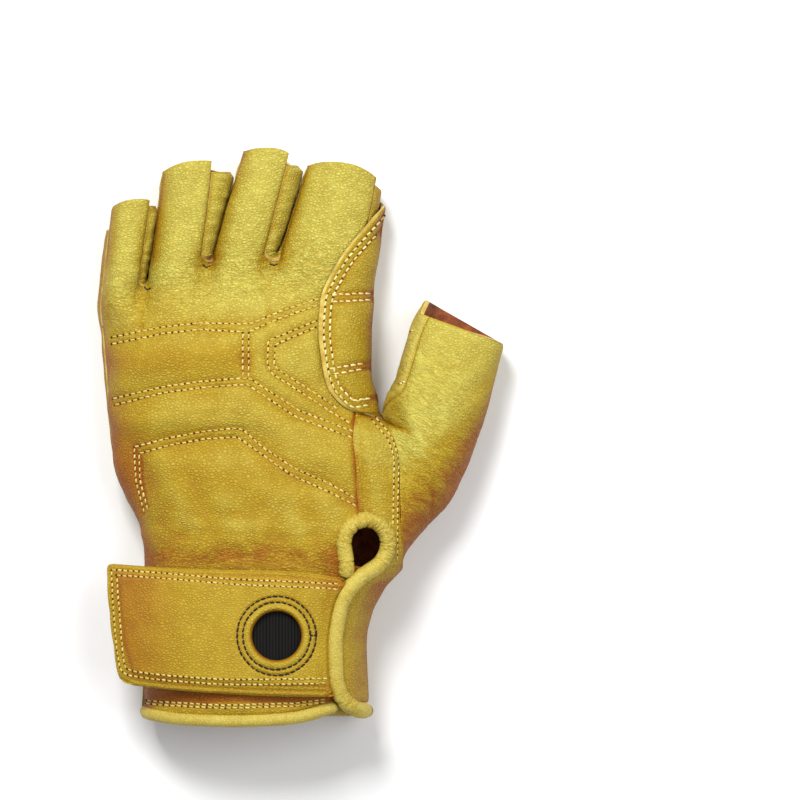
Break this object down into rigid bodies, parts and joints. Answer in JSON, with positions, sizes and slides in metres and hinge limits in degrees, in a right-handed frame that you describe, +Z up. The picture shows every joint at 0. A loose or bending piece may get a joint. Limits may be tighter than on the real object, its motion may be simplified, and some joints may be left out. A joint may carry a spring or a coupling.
{
  "type": "climbing glove",
  "caption": "Left-hand half-finger climbing glove of thin leather with a quilted back, a doubled palm, a rolled vent at the wrist and a hook-and-loop strap with a clip hole.",
  "frame": {"origin": "on the flat underside of the palm's second layer, under the middle of the palm", "axes": "+Z up through the back of the hand, +Y towards the fingers, +X towards the thumb"},
  "size_m": [0.1369, 0.1929, 0.0422],
  "materials": {
    "hand_leather": "fine-grained goatskin, satin",
    "palm_leather": "fine-grained leather, satin",
    "strap_leather": "pebbled leather, satin",
    "binding_leather": "rolled soft leather, gathered on the bends",
    "loop_fabric": "matte knitted loop"
  },
  "bodies": {
    "root": {"back_panel": "hand_leather", "palm_panel": "hand_leather", "palm_overlay": "palm_leather", "fourchette_little_ring": "hand_leather", "fourchette_ring_middle": "hand_leather", "fourchette_middle_index": "hand_leather", "thumb_back": "hand_leather", "thumb_front": "hand_leather", "thumb_gusset": "binding_leather", "thumb_overlay": "palm_leather", "closure_strap": "strap_leather", "loop_patch": "loop_fabric", "vent_binding": "binding_leather", "hem_binding": "binding_leather"}
  },
  "joints": []
}
